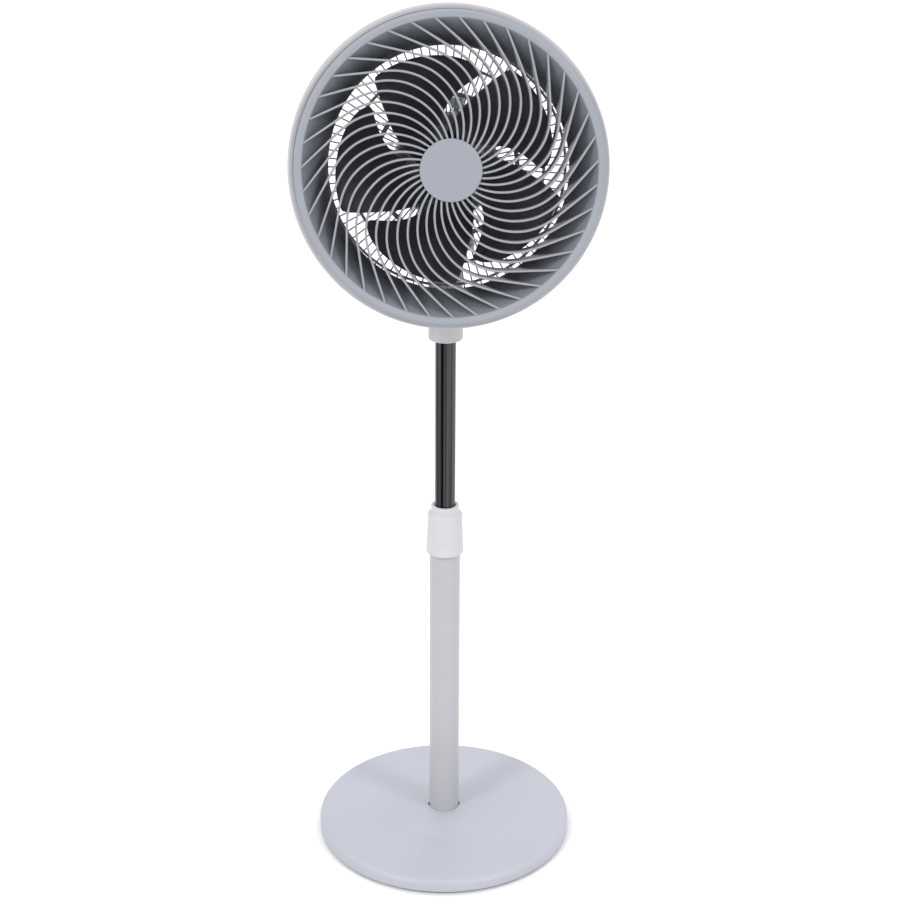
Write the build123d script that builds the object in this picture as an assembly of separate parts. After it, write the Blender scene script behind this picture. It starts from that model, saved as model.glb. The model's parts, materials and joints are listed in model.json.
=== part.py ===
from build123d import *
import math
import os

# Pedestal air circulator. Millimetres, +Z up, the air leaves towards -Y.
# The origin is the centre of the footprint on the floor, on the axis of the mast.
# The head is drawn in its own frame: X right, Y up, Z towards the air outlet, with its
# origin where the fan axis crosses the mast axis, and is placed at the end.

# ---- base ----
BASE_R = 162.4
FOOT_H = 3.0
BASE_EDGE_H = 20.0
BASE_SKIN = 2.5
BOSS_R = 62.0
BOSS_H = 28.0
FOOT_R = 9.0
FOOT_RING_R = 138.0
FEET = 6
BASE_BOLTS = 4
BASE_BOLT_RING_R = 29.0

# ---- mast ----
OUTER_TUBE_R = 19.0
INNER_TUBE_R = 12.5
TUBE_WALL = 1.2
OUTER_TUBE_TOP = 404.0
OUTER_TUBE_FOOT = 14.0
INNER_TUBE_FOOT = 262.0
INNER_TUBE_TOP = 694.0
COLLAR_FOOT = 395.0
COLLAR_SHOULDER = 447.0
COLLAR_TOP = 458.0
COLLAR_R = 23.2
COLLAR_SHOULDER_R = 21.4
COLLAR_NECK_R = 17.1
COLLAR_FLUTES = 24
FIT_GAP = 0.05
FREE_GAP = 0.4

# ---- neck ----
NECK_FOOT = 670.6
NECK_LIP_H = 1.4
NECK_R = 20.6
NECK_TOP = 712.0
EAR_R = 14.0
EAR_T = 8.0
SLOT_HALF = 12.0

# ---- head placing ----
HEAD_Z = 879.4
HEAD_TILT = 10.2
SWIVEL_S = -56.0
PIVOT_DROP = 92.0

# ---- head shells and guards ----
RIM_R = 178.9
RIM_LIP_R = 176.4
RIM_POST_R = 168.1
RIM_FRONT = 77.0
RIM_BACK = 32.0
SEAM_R = 171.6
RING_FRONT = 93.0
RING_INNER_R = 163.0
THROAT_R = 134.5
THROAT_S = 50.0
BELL_LOW_R = 141.5
BELL_HIGH_R = 152.5
SHELL_T = 2.2
RIBS = 39
RIB_T = 2.3
RIB_GAP = 0.15
CAP_R = 34.3
CAP_FRONT = 101.0
GUARD_S = 6.0
GUARD_BARS = 88
GUARD_BAR_T = 1.5
GUARD_BAR_H = 3.4
GUARD_HUB_R = 46.0
GUARD_RING_1 = 80.5
GUARD_RING_2 = 111.0
GUARD_RING_3 = 135.5
GUARD_EDGE_R = 164.5

# ---- fan blade ----
BLADES = 5
BLADE_T = 2.2
HUB_R = 31.0
HUB_BACK = 17.0
HUB_FRONT = 60.0

# ---- motor ----
SHAFT_R = 4.0
MOTOR_R = 60.0
MOTOR_FRONT = 3.0
MOTOR_SPLIT = -24.0
MOTOR_BACK = -84.0
MOTOR_WALL = 2.5
STATOR_R = 46.5
ROTOR_R = 27.0
STACK_FRONT = -13.0
STACK_BACK = -35.0
BRACKET_R = 53.0
PIN_R = 6.0
WORM_R = 5.5
WORM_S = -58.0
WORM_WHEEL_R = 10.0
WHEEL_X = WORM_R + WORM_WHEEL_R + 0.4
CRANK_X = 32.0
CRANK_S = -62.0
CRANK_R = 12.0
CRANK_THROW = 8.0
LINK_EYE_S = -86.0

tilt = math.radians(HEAD_TILT)
HEAD = Plane(
    origin=(0, 0, HEAD_Z),
    x_dir=(1, 0, 0),
    z_dir=(0, -math.cos(tilt), math.sin(tilt)),
).location
PIVOT_Y = -SWIVEL_S * math.cos(tilt) - PIVOT_DROP * math.sin(tilt)
PIVOT_Z = HEAD_Z + SWIVEL_S * math.sin(tilt) - PIVOT_DROP * math.cos(tilt)

PLATE_TOP = -74.0
PLATE_T = 3.0


def write(name, shape):
    export_step(shape, f"parts/{name}.step")


def write_head(name, shape):
    write(name, shape.moved(HEAD))


def polar(radius, angle):
    a = math.radians(angle)
    return (radius * math.cos(a), radius * math.sin(a))


def turned(points):
    """A ring or disc turned from an outline of (radius, height) points."""
    outline = make_face(Polyline([(r, 0, z) for r, z in points], close=True))
    return revolve(outline, Axis.Z, 360)


def ring(outer, inner, low, high):
    return Pos(0, 0, low) * extrude(Circle(outer) - Circle(inner), high - low)


def rod(radius, low, high):
    return Pos(0, 0, low) * extrude(Circle(radius), high - low)


def rod_along(axis_plane, radius, low, high):
    return axis_plane.location * rod(radius, low, high)


def around(shape, count, start=0.0):
    return [Rot(0, 0, start + 360 * i / count) * shape for i in range(count)]


def group(shapes):
    return Compound(children=list(shapes))


# ---------------------------------------------------------------- base

def base_cover():
    edge_low = FOOT_H + 1.5
    outline = [
        (BASE_R - 2.0, edge_low),
        (BASE_R, edge_low + 3.0),
        (BASE_R, BASE_EDGE_H - 7.0),
        (BASE_R - 2.2, BASE_EDGE_H - 2.4),
        (BASE_R - 7.0, BASE_EDGE_H),
        (BOSS_R, BASE_EDGE_H + 1.6),
        (OUTER_TUBE_R + 4.0, BOSS_H - 0.6),
        (OUTER_TUBE_R + 0.3, BOSS_H),
        (OUTER_TUBE_R + 0.3, BOSS_H - BASE_SKIN),
        (BOSS_R, BASE_EDGE_H + 1.6 - BASE_SKIN),
        (BASE_R - 8.0, BASE_EDGE_H - BASE_SKIN),
        (BASE_R - BASE_SKIN, BASE_EDGE_H - 8.0),
        (BASE_R - BASE_SKIN - 0.6, edge_low),
    ]
    return turned(outline)


def base_parts():
    plate_top = FOOT_H + 1.5
    bolt = [(BASE_BOLT_RING_R, 45 + 90 * i) for i in range(BASE_BOLTS)]
    weight_top = 12.0
    flange_top = OUTER_TUBE_FOOT + 3.0
    weight = ring(144.0, 22.0, plate_top, weight_top)
    plate = rod(BASE_R - BASE_SKIN - 1.2, FOOT_H, plate_top)
    flange = rod(38.0, weight_top, OUTER_TUBE_FOOT)
    flange += ring(OUTER_TUBE_R - TUBE_WALL - FIT_GAP, 14.0, OUTER_TUBE_FOOT, flange_top + 9.0)
    screws = []
    for radius, angle in bolt:
        spot = Pos(*polar(radius, angle), 0)
        weight -= spot * rod(3.4, plate_top - 1, weight_top + 1)
        plate -= spot * rod(3.4, FOOT_H - 1, plate_top + 1)
        flange -= spot * rod(2.95, weight_top - 1, OUTER_TUBE_FOOT + 1)
        screws.append(spot * (rod(5.5, FOOT_H - 2.0, FOOT_H) + rod(2.9, FOOT_H, OUTER_TUBE_FOOT + 1.5)))
    foot = rod(FOOT_R, 0, FOOT_H) + rod(3.0, FOOT_H, plate_top)
    feet = [Rot(0, 0, 60 * i + 30) * (Pos(FOOT_RING_R, 0, 0) * foot) for i in range(FEET)]
    for one in range(FEET):
        spot = Rot(0, 0, 60 * one + 30) * Pos(FOOT_RING_R, 0, 0)
        plate -= spot * rod(3.0, FOOT_H - 1, plate_top + 1)
    write("base_cover", base_cover())
    write("base_weight", weight)
    write("base_plate", plate)
    write("tube_flange", flange)
    write("base_screws", group(screws))
    write("rubber_feet", group(feet))


# ---------------------------------------------------------------- mast

def height_collar():
    body = turned([
        (OUTER_TUBE_R + FREE_GAP, COLLAR_FOOT),
        (COLLAR_R - 1.2, COLLAR_FOOT),
        (COLLAR_R, COLLAR_FOOT + 1.4),
        (COLLAR_R, COLLAR_FOOT + 6.0),
        (COLLAR_SHOULDER_R + 0.4, COLLAR_SHOULDER - 4.0),
        (COLLAR_SHOULDER_R - 1.6, COLLAR_SHOULDER - 0.8),
        (COLLAR_NECK_R + 0.8, COLLAR_SHOULDER + 1.2),
        (COLLAR_NECK_R, COLLAR_SHOULDER + 2.6),
        (COLLAR_NECK_R, COLLAR_TOP - 1.0),
        (COLLAR_NECK_R - 1.0, COLLAR_TOP),
        (INNER_TUBE_R + FREE_GAP, COLLAR_TOP),
        (INNER_TUBE_R + FREE_GAP, COLLAR_TOP - 4.0),
        (16.6, COLLAR_SHOULDER - 1.0),
        (16.6, OUTER_TUBE_TOP + 5.0),
        (OUTER_TUBE_R + FREE_GAP, OUTER_TUBE_TOP + 4.6),
    ])
    flute = Pos(COLLAR_R + 1.5, 0, COLLAR_FOOT + 9.0) * rod(2.3, 0, 36.0)
    return body - around(flute, COLLAR_FLUTES)


def collar_bush():
    sleeve = turned([
        (INNER_TUBE_R + FIT_GAP, OUTER_TUBE_TOP - 40.0),
        (OUTER_TUBE_R - TUBE_WALL, OUTER_TUBE_TOP - 40.0),
        (OUTER_TUBE_R - TUBE_WALL, OUTER_TUBE_TOP),
        (OUTER_TUBE_R - 0.1, OUTER_TUBE_TOP),
        (OUTER_TUBE_R - 0.1, OUTER_TUBE_TOP + 3.5),
        (16.1, OUTER_TUBE_TOP + 4.0),
        (15.6, COLLAR_SHOULDER - 4.0),
        (13.8, COLLAR_SHOULDER + 1.0),
        (INNER_TUBE_R + FIT_GAP, COLLAR_SHOULDER + 1.0),
    ])
    split = Pos(OUTER_TUBE_R / 2, 0, COLLAR_SHOULDER - 15.0) * Box(OUTER_TUBE_R, 1.6, 36.0)
    return sleeve - around(split, 3)


def mast_parts():
    write("outer_tube", ring(OUTER_TUBE_R, OUTER_TUBE_R - TUBE_WALL, OUTER_TUBE_FOOT, OUTER_TUBE_TOP))
    write("collar_bush", collar_bush())
    write("height_collar", height_collar())
    write("inner_tube", ring(INNER_TUBE_R, INNER_TUBE_R - TUBE_WALL, INNER_TUBE_FOOT, INNER_TUBE_TOP))
    glide = turned([
        (INNER_TUBE_R - TUBE_WALL, INNER_TUBE_FOOT + 12.0),
        (INNER_TUBE_R - TUBE_WALL, INNER_TUBE_FOOT),
        (OUTER_TUBE_R - TUBE_WALL - 0.08, INNER_TUBE_FOOT),
        (OUTER_TUBE_R - TUBE_WALL - 0.08, INNER_TUBE_FOOT - 12.0),
        (8.0, INNER_TUBE_FOOT - 12.0),
        (8.0, INNER_TUBE_FOOT + 12.0),
    ])
    write("tube_glide", glide)


# ---------------------------------------------------------------- neck

def neck_housing():
    lip = rod(14.8, NECK_FOOT, NECK_FOOT + NECK_LIP_H)
    shoulder = turned([
        (0, NECK_FOOT + NECK_LIP_H),
        (NECK_R - 1.8, NECK_FOOT + NECK_LIP_H),
        (NECK_R - 0.5, NECK_FOOT + NECK_LIP_H + 0.6),
        (NECK_R, NECK_FOOT + NECK_LIP_H + 1.8),
        (NECK_R, NECK_TOP),
        (0, NECK_TOP),
    ])
    front = [
        (-NECK_R + 0.6, NECK_TOP - 6.0),
        (-NECK_R + 0.6, NECK_TOP),
        (PIVOT_Y - EAR_R, PIVOT_Z - 6.0),
        (PIVOT_Y - EAR_R, PIVOT_Z),
    ]
    back = [
        (PIVOT_Y + EAR_R, PIVOT_Z),
        (PIVOT_Y + EAR_R, PIVOT_Z - 24.0),
        (NECK_R - 0.6, NECK_TOP - 12.0),
    ]
    side = Plane.YZ * make_face(Polyline(front + back, close=True))
    arm = extrude(side, (SLOT_HALF + EAR_T), both=True)
    arm = fillet(arm.edges().filter_by(Plane.YZ).group_by(Axis.X)[0], 5.0)
    arm = fillet(arm.edges().filter_by(Plane.YZ).group_by(Axis.X)[-1], 5.0)
    pivot = Plane(origin=(0, PIVOT_Y, PIVOT_Z), z_dir=(1, 0, 0))
    arm += rod_along(pivot, EAR_R, -SLOT_HALF - EAR_T, SLOT_HALF + EAR_T)
    neck = lip + shoulder + arm
    neck -= rod(INNER_TUBE_R, NECK_FOOT - 1, INNER_TUBE_TOP)
    neck -= rod_along(pivot, EAR_R + 1.6, -SLOT_HALF, SLOT_HALF)
    swing = Pos(0, PIVOT_Y, PIVOT_Z + 20.0) * Box(2 * SLOT_HALF, 60.0, 40.0)
    neck -= swing
    neck -= rod_along(pivot, 4.0, -40.0, 40.0)
    return neck


def neck_parts():
    pivot = Plane(origin=(0, PIVOT_Y, PIVOT_Z), z_dir=(1, 0, 0))
    ear_face = SLOT_HALF + EAR_T
    screw_y = NECK_R - 3.0
    boss = Plane(origin=(0, 0, NECK_TOP - 22.0), z_dir=(0, 1, 0))
    housing = neck_housing() - rod_along(boss, 2.5, INNER_TUBE_R - TUBE_WALL - 1, 40.0)
    housing -= rod_along(boss, 5.0, screw_y - 1.0, 40.0)
    screw = rod_along(boss, 2.45, INNER_TUBE_R, screw_y - 1.0)
    screw += rod_along(boss, 4.6, screw_y - 1.0, screw_y + 2.0)
    bolt = rod_along(pivot, 3.95, -ear_face, ear_face + 8.0)
    head = Location(pivot.location) * (Pos(0, 0, -ear_face - 4.0) * extrude(RegularPolygon(7.0, 6), 4.0))
    knob = Location(pivot.location) * tilt_knob()
    write("neck_housing", housing)
    write("neck_screw", screw)
    write("tilt_bolt", bolt + head)
    write("tilt_knob", knob)


def tilt_knob():
    low = SLOT_HALF + EAR_T + 0.3
    grip = rod(11.0, low, low + 15.0)
    grip = fillet(grip.edges().group_by(Axis.Z)[-1], 2.5)
    flute = Pos(12.4, 0, low + 3.0) * rod(2.6, 0, 20.0)
    grip -= around(flute, 10)
    return grip - rod(4.05, low - 1.0, low + 9.0)


# ---------------------------------------------------------------- swivel

def upright(x, s):
    """A frame in the head with its Z along the head's up direction."""
    return Plane(origin=(x, 0, s), x_dir=(1, 0, 0), z_dir=(0, 1, 0))


def swivel_parts():
    pivot = Plane(origin=(0, -PIVOT_DROP, SWIVEL_S), z_dir=(1, 0, 0))
    lug_half = SLOT_HALF - 0.3
    plate_low = PLATE_TOP - PLATE_T
    lug = rod_along(pivot, EAR_R - 0.6, -lug_half, lug_half)
    web = Pos(0, (plate_low - PIVOT_DROP) / 2, SWIVEL_S) * Box(
        2 * lug_half, PIVOT_DROP + plate_low, 2 * EAR_R - 6.0)
    plate = rod_along(upright(0, SWIVEL_S), 21.0, plate_low, PLATE_TOP)
    ear = Pos(0, PLATE_TOP - PLATE_T / 2, (SWIVEL_S + LINK_EYE_S) / 2) * Box(
        12.0, PLATE_T, SWIVEL_S - LINK_EYE_S)
    ear += rod_along(upright(0, LINK_EYE_S), 6.0, plate_low, PLATE_TOP)
    bracket = lug + web + plate + ear
    bracket -= rod_along(pivot, 4.0, -20.0, 20.0)
    bracket -= rod_along(upright(0, SWIVEL_S), PIN_R, PLATE_TOP - 6.0, PLATE_TOP + 1)
    bracket -= rod_along(upright(0, LINK_EYE_S), 2.0, plate_low - 1, PLATE_TOP + 1)
    pin = rod_along(upright(0, SWIVEL_S), PIN_R, PLATE_TOP - 6.0, -26.0)
    washer = upright(0, SWIVEL_S).location * ring(10.5, PIN_R + FIT_GAP, PLATE_TOP, PLATE_TOP + 1.5)
    write_head("swivel_bracket", bracket)
    write_head("oscillation_pin", pin)
    write_head("thrust_washer", washer)
    link_low = PLATE_TOP
    link_high = PLATE_TOP + 2.4
    reach = math.hypot(CRANK_X, CRANK_S - LINK_EYE_S)
    bar = Pos(reach / 2, 0, 0) * SlotCenterToCenter(reach, 9.0)
    bar -= Circle(2.05)
    bar -= Pos(reach, 0) * Circle(2.6)
    turn = -math.degrees(math.atan2(CRANK_S - LINK_EYE_S, CRANK_X))
    flat = upright(0, LINK_EYE_S).location * Rot(0, 0, turn)
    write_head("crank_link", flat * (Pos(0, 0, link_low) * extrude(bar, link_high - link_low)))
    rivet = rod(2.0, plate_low - 1.0, link_high) + rod(3.8, link_high, link_high + 1.4)
    rivet += rod(3.8, plate_low - 1.6, plate_low)
    write_head("link_rivet", upright(0, LINK_EYE_S).location * rivet)


# ---------------------------------------------------------------- motor

def motor_cover_front():
    drum = turned([
        (5.0, MOTOR_FRONT - MOTOR_WALL),
        (MOTOR_R - MOTOR_WALL, MOTOR_FRONT - MOTOR_WALL),
        (MOTOR_R - MOTOR_WALL, MOTOR_SPLIT),
        (MOTOR_R, MOTOR_SPLIT),
        (MOTOR_R, MOTOR_FRONT - 3.0),
        (MOTOR_R - 3.0, MOTOR_FRONT),
        (19.0, MOTOR_FRONT),
        (19.0, MOTOR_FRONT + 11.0),
        (5.0, MOTOR_FRONT + 11.0),
    ])
    vent = Pos(40.0, 0, MOTOR_FRONT) * Box(18.0, 2.4, 3 * MOTOR_WALL)
    return drum - around(vent, 24)


def motor_cover_rear():
    shell = turned([
        (0, MOTOR_BACK),
        (MOTOR_R - 20.0, MOTOR_BACK),
        (MOTOR_R - 7.0, MOTOR_BACK + 8.0),
        (MOTOR_R - 0.4, MOTOR_BACK + 26.0),
        (MOTOR_R, MOTOR_SPLIT),
        (MOTOR_R - MOTOR_WALL, MOTOR_SPLIT),
        (MOTOR_R - MOTOR_WALL - 0.4, MOTOR_BACK + 26.5),
        (MOTOR_R - 9.0, MOTOR_BACK + 10.0),
        (MOTOR_R - 21.0, MOTOR_BACK + MOTOR_WALL),
        (0, MOTOR_BACK + MOTOR_WALL),
    ])
    shell -= rod_along(upright(0, SWIVEL_S), 11.4, -70.0, -40.0)
    shell -= rod_along(upright(CRANK_X, CRANK_S), 3.6, -70.0, -20.0)
    shell -= rod_along(upright(WHEEL_X, WORM_S), 3.4, 30.0, 70.0)
    shell -= Pos(0, 0, MOTOR_BACK) * rod(4.2, -5.0, 5.0)
    shell -= Pos(0, -30.0, MOTOR_BACK) * rod(6.0, -5.0, 5.0)
    slot = Pos(0, 48.0, MOTOR_BACK + 14.0) * Box(2.6, 26.0, 16.0)
    slots = [Rot(0, 0, a) * slot for a in range(-60, 61, 10) if abs(a) > 15]
    return shell - slots


def stator():
    core = ring(STATOR_R, ROTOR_R + 0.6, STACK_BACK, STACK_FRONT)
    pocket = Pos(35.0, 0, (STACK_BACK + STACK_FRONT) / 2) * Box(11.0, 7.0, 40.0)
    core -= around(pocket, 16)
    coil = Pos(35.0, 0, (STACK_BACK + STACK_FRONT) / 2) * Box(10.6, 6.6, STACK_FRONT - STACK_BACK)
    hoop = ring(42.0, 29.5, STACK_FRONT, STACK_FRONT + 3.5) + ring(42.0, 29.5, STACK_BACK - 3.5, STACK_BACK)
    winding = hoop + around(coil, 16)
    return core, winding


def bracket_plate(low):
    """A four-lobed end plate that carries one shaft bush."""
    plate = ring(BRACKET_R - 4.0, 8.0, low, low + 2.5)
    plate += around(Pos(49.5, 0, 0) * rod(6.0, low, low + 2.5), 4, 45.0)
    plate += ring(12.0, 8.0, low - 2.0, low + 5.0)
    window = Pos(26.0, 0, low) * Box(20.0, 12.0, 10.0)
    plate -= around(window, 4)
    return plate - around(Pos(49.5, 0, 0) * rod(1.9, low - 1, low + 4), 4, 45.0)


def gearbox_case():
    """An open cast frame: a plate behind the motor, a shelf for the gears and a boss on the pin."""
    plate_back = STACK_BACK - 12.6
    shelf_back = CRANK_S - 14.0
    shelf_depth = plate_back + 2.4 - shelf_back
    frame = Pos(9.0, -4.0, plate_back + 1.2) * Box(66.0, 44.0, 2.4)
    frame -= rod(WORM_R + 1.0, plate_back - 1, plate_back + 4)
    frame += Pos(9.0, -24.5, shelf_back + shelf_depth / 2) * Box(66.0, 3.0, shelf_depth)
    frame += rod_along(upright(0, SWIVEL_S), 11.0, -72.0, -23.0)
    frame -= rod_along(upright(0, SWIVEL_S), PIN_R + FIT_GAP, -80.0, -25.9)
    frame -= rod_along(upright(CRANK_X, CRANK_S), 3.05, -40.0, -10.0)
    frame -= rod_along(upright(WHEEL_X, WORM_S), 2.05, -40.0, -10.0)
    return frame


def motor_parts():
    core, winding = stator()
    front_plate = STACK_FRONT + 5.5
    rear_plate = STACK_BACK - 8.0
    write_head("motor_cover_front", motor_cover_front())
    write_head("motor_cover_rear", motor_cover_rear())
    write_head("stator_core", core)
    write_head("stator_winding", winding)
    write_head("front_bracket", bracket_plate(front_plate))
    write_head("rear_bracket", bracket_plate(rear_plate))
    bush = ring(8.0, SHAFT_R + FIT_GAP, -2.0, 5.0)
    write_head("shaft_bushes", group([Pos(0, 0, front_plate) * bush, Pos(0, 0, rear_plate) * bush]))
    stay = rod(1.85, rear_plate - 3.0, front_plate + 2.5) + rod(3.4, front_plate + 2.5, front_plate + 4.5)
    write_head("motor_screws", group(around(Pos(49.5, 0, 0) * stay, 4, 45.0)))
    write_head("gearbox_case", gearbox_case())
    write_head("capacitor", Pos(-37.0, 16.0, -57.0) * Box(20.0, 24.0, 14.0))
    switch = Pos(0, 0, MOTOR_BACK + MOTOR_WALL + 5.0) * Box(26.0, 26.0, 10.0)
    write_head("speed_switch", switch)
    grommet = ring(9.0, 3.6, MOTOR_BACK - 3.0, MOTOR_BACK) + ring(6.0, 3.6, MOTOR_BACK, MOTOR_BACK + 5.0)
    write_head("cord_grommet", Pos(0, -30.0, 0) * grommet)


def drive_parts():
    shaft = rod(SHAFT_R, WORM_S - 10.0, HUB_FRONT + 6.0)
    write_head("motor_shaft", shaft)
    rotor = ring(ROTOR_R, SHAFT_R, STACK_BACK, STACK_FRONT)
    write_head("rotor_core", rotor)
    worm = ring(WORM_R - 1.0, SHAFT_R, WORM_S - 7.0, WORM_S + 7.0)
    turns = [ring(WORM_R, SHAFT_R, WORM_S + 2.6 * i - 0.7, WORM_S + 2.6 * i + 0.7) for i in range(-2, 3)]
    write_head("shaft_worm", worm + turns)
    wheel = rod(WORM_WHEEL_R, -3.5, 3.5)
    tooth_gap = Pos(WORM_WHEEL_R, 0, 0) * Box(2.0, 1.2, 10.0)
    wheel -= around(tooth_gap, 24)
    wheel += rod(2.0, -26.0, 12.0)
    wheel += rod(3.4, -21.5, -14.0)
    write_head("worm_gear", upright(WHEEL_X, WORM_S).location * wheel)
    spacing = math.hypot(CRANK_X - WHEEL_X, CRANK_S - WORM_S)
    gear_r = spacing - 3.4 - 0.4
    gear = rod(gear_r, -21.0, -15.0)
    notch = Pos(gear_r, 0, -18.0) * Box(2.0, 1.1, 10.0)
    gear -= around(notch, 32)
    gear += rod(3.0, -66.0, -12.0)
    write_head("crank_gear", upright(CRANK_X, CRANK_S).location * gear)
    disc = ring(CRANK_R, 3.0, -66.0, -62.0)
    disc += Pos(CRANK_THROW, 0, 0) * rod(2.2, -71.1, -66.0)
    write_head("crank_disc", upright(CRANK_X, CRANK_S).location * disc)


def control_parts():
    knob = rod(17.0, MOTOR_BACK - 16.0, MOTOR_BACK - 0.5)
    knob = fillet(knob.edges().group_by(Axis.Z)[0], 2.0)
    knob -= around(Pos(18.4, 0, MOTOR_BACK - 18.0) * rod(2.2, 0, 14.0), 20)
    knob += rod(4.0, MOTOR_BACK - 1.0, MOTOR_BACK + MOTOR_WALL - 0.3)
    write_head("speed_knob", knob)
    pull = rod(9.0, 63.0, 76.0)
    pull = fillet(pull.edges().group_by(Axis.Z)[-1], 3.0)
    pull += rod(3.0, 16.0, 63.5)
    write_head("oscillation_knob", upright(WHEEL_X, WORM_S).location * pull)


# ---------------------------------------------------------------- fan blade

# Leading and trailing edges of one blade, as (radius, angle) from root to tip.
LEADING_EDGE = [(28.0, 122.0), (50.0, 101.0), (74.0, 87.5), (102.0, 72.0), (114.0, 68.0)]
TRAILING_EDGE = [(28.0, 174.0), (48.0, 159.0), (84.0, 142.0), (107.0, 134.8), (128.0, 129.8)]
TIP_COURSE = [(117.5, 70.0), (121.5, 82.0), (126.0, 105.0), (129.0, 127.0)]
BLADE_MID = 106.0
# Distance from the axis, half width, rise per unit of width, place of the middle.
BLADE_STATIONS = [
    (22.0, 34.0, 1.30, 14.0),
    (60.0, 52.0, 0.60, 29.0),
    (100.0, 78.0, 0.30, 36.5),
    (140.0, 92.0, 0.23, 38.5),
]


def blade_section(distance, half_width, rise, middle):
    plane = Plane(origin=(distance, 0, middle), x_dir=(0, 1, 0), z_dir=(1, 0, 0))
    sag = 0.07 * half_width
    low = rise * half_width
    half = BLADE_T / 2
    back = ThreePointArc((-half_width, -low - half), (0, sag - half), (half_width, low - half))
    front = ThreePointArc((half_width, low + half), (0, sag + half), (-half_width, -low + half))
    right = Line(back @ 1, front @ 0)
    left = Line(front @ 1, back @ 0)
    return plane * make_face([back, right, front, left])


def one_blade():
    slab = loft([blade_section(*station) for station in BLADE_STATIONS])
    slab = Rot(0, 0, BLADE_MID) * slab
    lead = Spline([polar(r, a) for r, a in LEADING_EDGE])
    trail = Spline([polar(r, a) for r, a in TRAILING_EDGE])
    tip = Spline([lead @ 1] + [polar(r, a) for r, a in TIP_COURSE] + [trail @ 1])
    root = Line(lead @ 0, trail @ 0)
    outline = make_face([lead, tip, trail, root])
    return slab & extrude(outline, 90.0)


def fan_blade():
    hub = turned([
        (SHAFT_R, HUB_BACK + 4.0),
        (12.0, HUB_BACK + 4.0),
        (12.0, HUB_FRONT - 5.0),
        (HUB_R - 3.0, HUB_FRONT - 5.0),
        (HUB_R - 3.0, HUB_BACK),
        (HUB_R, HUB_BACK),
        (HUB_R, HUB_FRONT - 4.0),
        (HUB_R - 4.0, HUB_FRONT),
        (12.0, HUB_FRONT + 2.0),
        (SHAFT_R, HUB_FRONT + 2.0),
    ])
    blade = one_blade() - rod(HUB_R - 1.5, 0, 90)
    return hub + around(blade, BLADES)


def blade_parts():
    write_head("fan_blade", fan_blade())
    nut_low = HUB_FRONT + 2.0
    nut = rod(9.0, nut_low, nut_low + 12.0)
    nut = fillet(nut.edges().group_by(Axis.Z)[-1], 3.0)
    nut -= around(Pos(10.0, 0, nut_low - 1) * rod(1.8, 0, 20.0), 10)
    write_head("blade_nut", nut - rod(SHAFT_R, nut_low - 1, HUB_FRONT + 6.0))


# ---------------------------------------------------------------- guards

# Course of one front rib: curved out from the cap, as (radius, angle), and then straight to the ring.
# The straight stretch lies on a line that passes RIB_LINE_OFF from the centre at RIB_LINE_ANGLE.
RIB_CURVE = [(32.0, -6.2), (52.0, 0.4), (78.0, 11.1), (104.0, 24.0)]
RIB_LINE_OFF = 112.3
RIB_LINE_ANGLE = 12.3
RIB_LINE_RADII = (124.3, 143.0, 164.0)
RIB_ROOT_BACK = 87.0
RIB_THROAT_BACK = 60.0


def bell_ring():
    """The rounded front ring and the bell mouth behind it, in one moulding."""
    lip = RING_FRONT - 1.0
    outer = Polyline((SEAM_R, RIM_FRONT - 6.0), (SEAM_R, lip - 4.0))
    crown = ThreePointArc(outer @ 1, (SEAM_R - 2.4, lip - 0.8), (SEAM_R - 6.6, lip))
    corner = ThreePointArc(crown @ 1, (RING_INNER_R + 0.4, lip - 0.5), (RING_INNER_R - 1.0, lip - 1.8))
    bell = Spline(corner @ 1, (BELL_HIGH_R, 79.5), (BELL_LOW_R, 65.5), (THROAT_R, THROAT_S))
    throat = Line(bell @ 1, (THROAT_R + SHELL_T, THROAT_S))
    bell_back = Spline(
        throat @ 1,
        (BELL_LOW_R + SHELL_T, 64.0),
        (BELL_HIGH_R + SHELL_T, 77.6),
        (RING_INNER_R + 1.0, lip - SHELL_T - 1.2),
    )
    crown_back = ThreePointArc(
        bell_back @ 1,
        (SEAM_R - 4.0, lip - SHELL_T - 0.6),
        (SEAM_R - SHELL_T, lip - 7.0),
    )
    skirt = Polyline(crown_back @ 1, (SEAM_R - SHELL_T, RIM_FRONT - 6.0), outer @ 0)
    outline = make_face([outer, crown, corner, bell, throat, bell_back, crown_back, skirt])
    return revolve(Plane.XZ * outline, Axis.Z, 360)


def rib_envelope():
    ring_end = (RING_INNER_R - 1.6, RING_FRONT - 3.2)
    front = ThreePointArc((CAP_R - 4.0, CAP_FRONT - 3.0), (100.0, 95.4), ring_end)
    wall = Spline(
        front @ 1,
        (BELL_HIGH_R - 0.3 - RIB_GAP, 79.7),
        (BELL_LOW_R - 0.3 - RIB_GAP, 65.7),
        (THROAT_R + 2.6, RIB_THROAT_BACK - 1.6),
    )
    back = Polyline(wall @ 1, (CAP_R - 4.0, RIB_ROOT_BACK), front @ 0)
    return revolve(Plane.XZ * make_face([front, wall, back]), Axis.Z, 360)


def on_rib_line(radius):
    turn = math.degrees(math.acos(RIB_LINE_OFF / radius))
    return polar(radius, RIB_LINE_ANGLE + turn)


def one_rib(envelope):
    points = [polar(r, a) for r, a in RIB_CURVE] + [on_rib_line(r) for r in RIB_LINE_RADII]
    strip = trace(Spline(points), RIB_T)
    return (Pos(0, 0, RIB_THROAT_BACK - 4) * extrude(strip, 50.0)) & envelope


def front_grille():
    hub = rod(CAP_R, RIB_ROOT_BACK, CAP_FRONT - 3.0)
    rib = one_rib(rib_envelope())
    return hub + around(rib, RIBS)


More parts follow.
